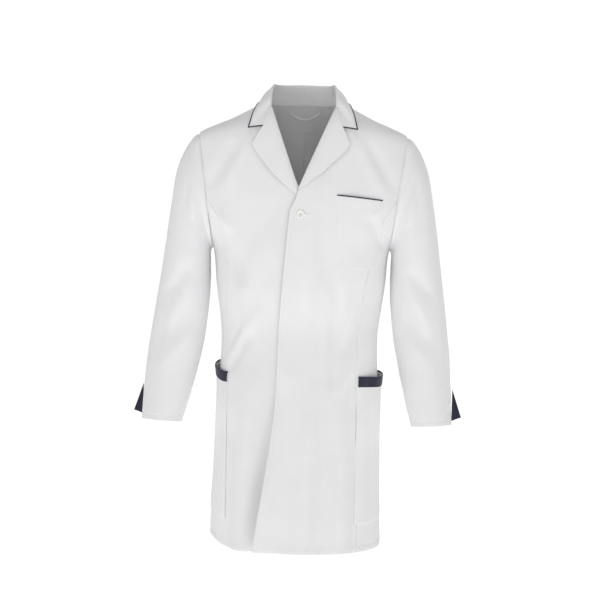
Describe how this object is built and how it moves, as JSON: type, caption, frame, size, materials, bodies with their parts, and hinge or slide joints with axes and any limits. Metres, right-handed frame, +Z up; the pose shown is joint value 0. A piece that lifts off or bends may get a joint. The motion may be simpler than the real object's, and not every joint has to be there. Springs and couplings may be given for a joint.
{
  "type": "lab coat",
  "caption": "Long-sleeved white lab coat with notched lapels, concealed-button front, navy piping, banded hip pockets and cuff gussets.",
  "frame": {"origin": "middle of the neck, level with the shoulder-neck points, where the coat rests on its wearer", "axes": "+X to the wearer's left, +Y to the wearer's back, +Z up"},
  "size_m": [0.716, 0.2804, 1.0192],
  "materials": {
    "white_cloth": "matt smooth poly-cotton twill",
    "white_facing": "matt poly-cotton, inner side",
    "navy_trim": "matt navy twill",
    "button": "satin off-white resin",
    "thread": "sewing thread"
  },
  "bodies": {
    "coat_body": {"back_vent_flap": "white_cloth", "chest_pocket": "white_cloth", "chest_pocket_piping": "navy_trim", "collar_fall": "white_cloth", "collar_piping": "navy_trim", "collar_stand": "white_cloth", "left_back": "white_cloth", "left_front_fold": "white_cloth", "left_hip_pocket": "white_cloth", "left_hip_pocket_band": "navy_trim", "left_lapel": "white_cloth", "left_shoulder_front": "white_cloth", "left_side_front": "white_cloth", "left_sleeve_bend": "white_cloth", "left_sleeve_cap": "white_cloth", "neck_facing": "white_facing", "right_back": "white_cloth", "right_front_fold": "white_cloth", "right_hip_pocket": "white_cloth", "right_hip_pocket_band": "navy_trim", "right_lapel": "white_cloth", "right_shoulder_front": "white_cloth", "right_side_front": "white_cloth", "right_sleeve_bend": "white_cloth", "right_sleeve_cap": "white_cloth"},
    "left_front": {"left_front": "white_cloth", "fly_strip": "white_facing"},
    "right_front": {"right_front": "white_cloth", "right_front_facing": "white_facing", "top_button": "button", "hidden_buttons": "button", "button_threads": "thread"},
    "left_upper_sleeve": {"left_upper_sleeve": "white_cloth", "left_elbow": "white_cloth"},
    "left_forearm": {"left_lower_sleeve": "white_cloth", "left_cuff_hem": "white_facing", "left_cuff_gusset": "navy_trim"},
    "right_upper_sleeve": {"right_upper_sleeve": "white_cloth", "right_elbow": "white_cloth"},
    "right_forearm": {"right_lower_sleeve": "white_cloth", "right_cuff_hem": "white_facing", "right_cuff_gusset": "navy_trim"},
    "hanger_loop": {"hanger_loop": "white_facing"}
  },
  "joints": [
    {"name": "left_front_swing", "type": "hinge", "parent": "coat_body", "child": "left_front", "pos_m": [0.058, -0.121, -0.211], "axis": [0.0477, -0.0245, -0.9986], "range_deg": [-50, 0], "deforming": ["left_front_fold", "left_lapel"]},
    {"name": "right_front_swing", "type": "hinge", "parent": "coat_body", "child": "right_front", "pos_m": [-0.058, -0.121, -0.211], "axis": [-0.0477, -0.0245, -0.9986], "range_deg": [0, 20], "deforming": ["right_front_fold", "right_lapel"]},
    {"name": "left_sleeve_swing", "type": "hinge", "parent": "coat_body", "child": "left_upper_sleeve", "pos_m": [0.246, 0, -0.322], "axis": [0, -1, 0], "range_deg": [0, 40], "deforming": ["left_sleeve_bend"]},
    {"name": "left_elbow_bend", "type": "hinge", "parent": "left_upper_sleeve", "child": "left_forearm", "pos_m": [0.258, -0.018, -0.445], "axis": [-1, 0, 0], "range_deg": [0, 65], "deforming": ["left_elbow"]},
    {"name": "right_sleeve_swing", "type": "hinge", "parent": "coat_body", "child": "right_upper_sleeve", "pos_m": [-0.246, 0, -0.322], "axis": [0, 1, 0], "range_deg": [0, 40], "deforming": ["right_sleeve_bend"]},
    {"name": "right_elbow_bend", "type": "hinge", "parent": "right_upper_sleeve", "child": "right_forearm", "pos_m": [-0.258, -0.018, -0.445], "axis": [-1, 0, 0], "range_deg": [0, 65], "deforming": ["right_elbow"]},
    {"name": "hanger_loop_flip", "type": "hinge", "parent": "coat_body", "child": "hanger_loop", "pos_m": [0, 0.0675, -0.026], "axis": [1, 0, 0], "range_deg": [-150, 0]}
  ],
  "couplings": [
    {"joint": "right_front_swing", "follows": "left_front_swing", "ratio": -0.4}
  ]
}
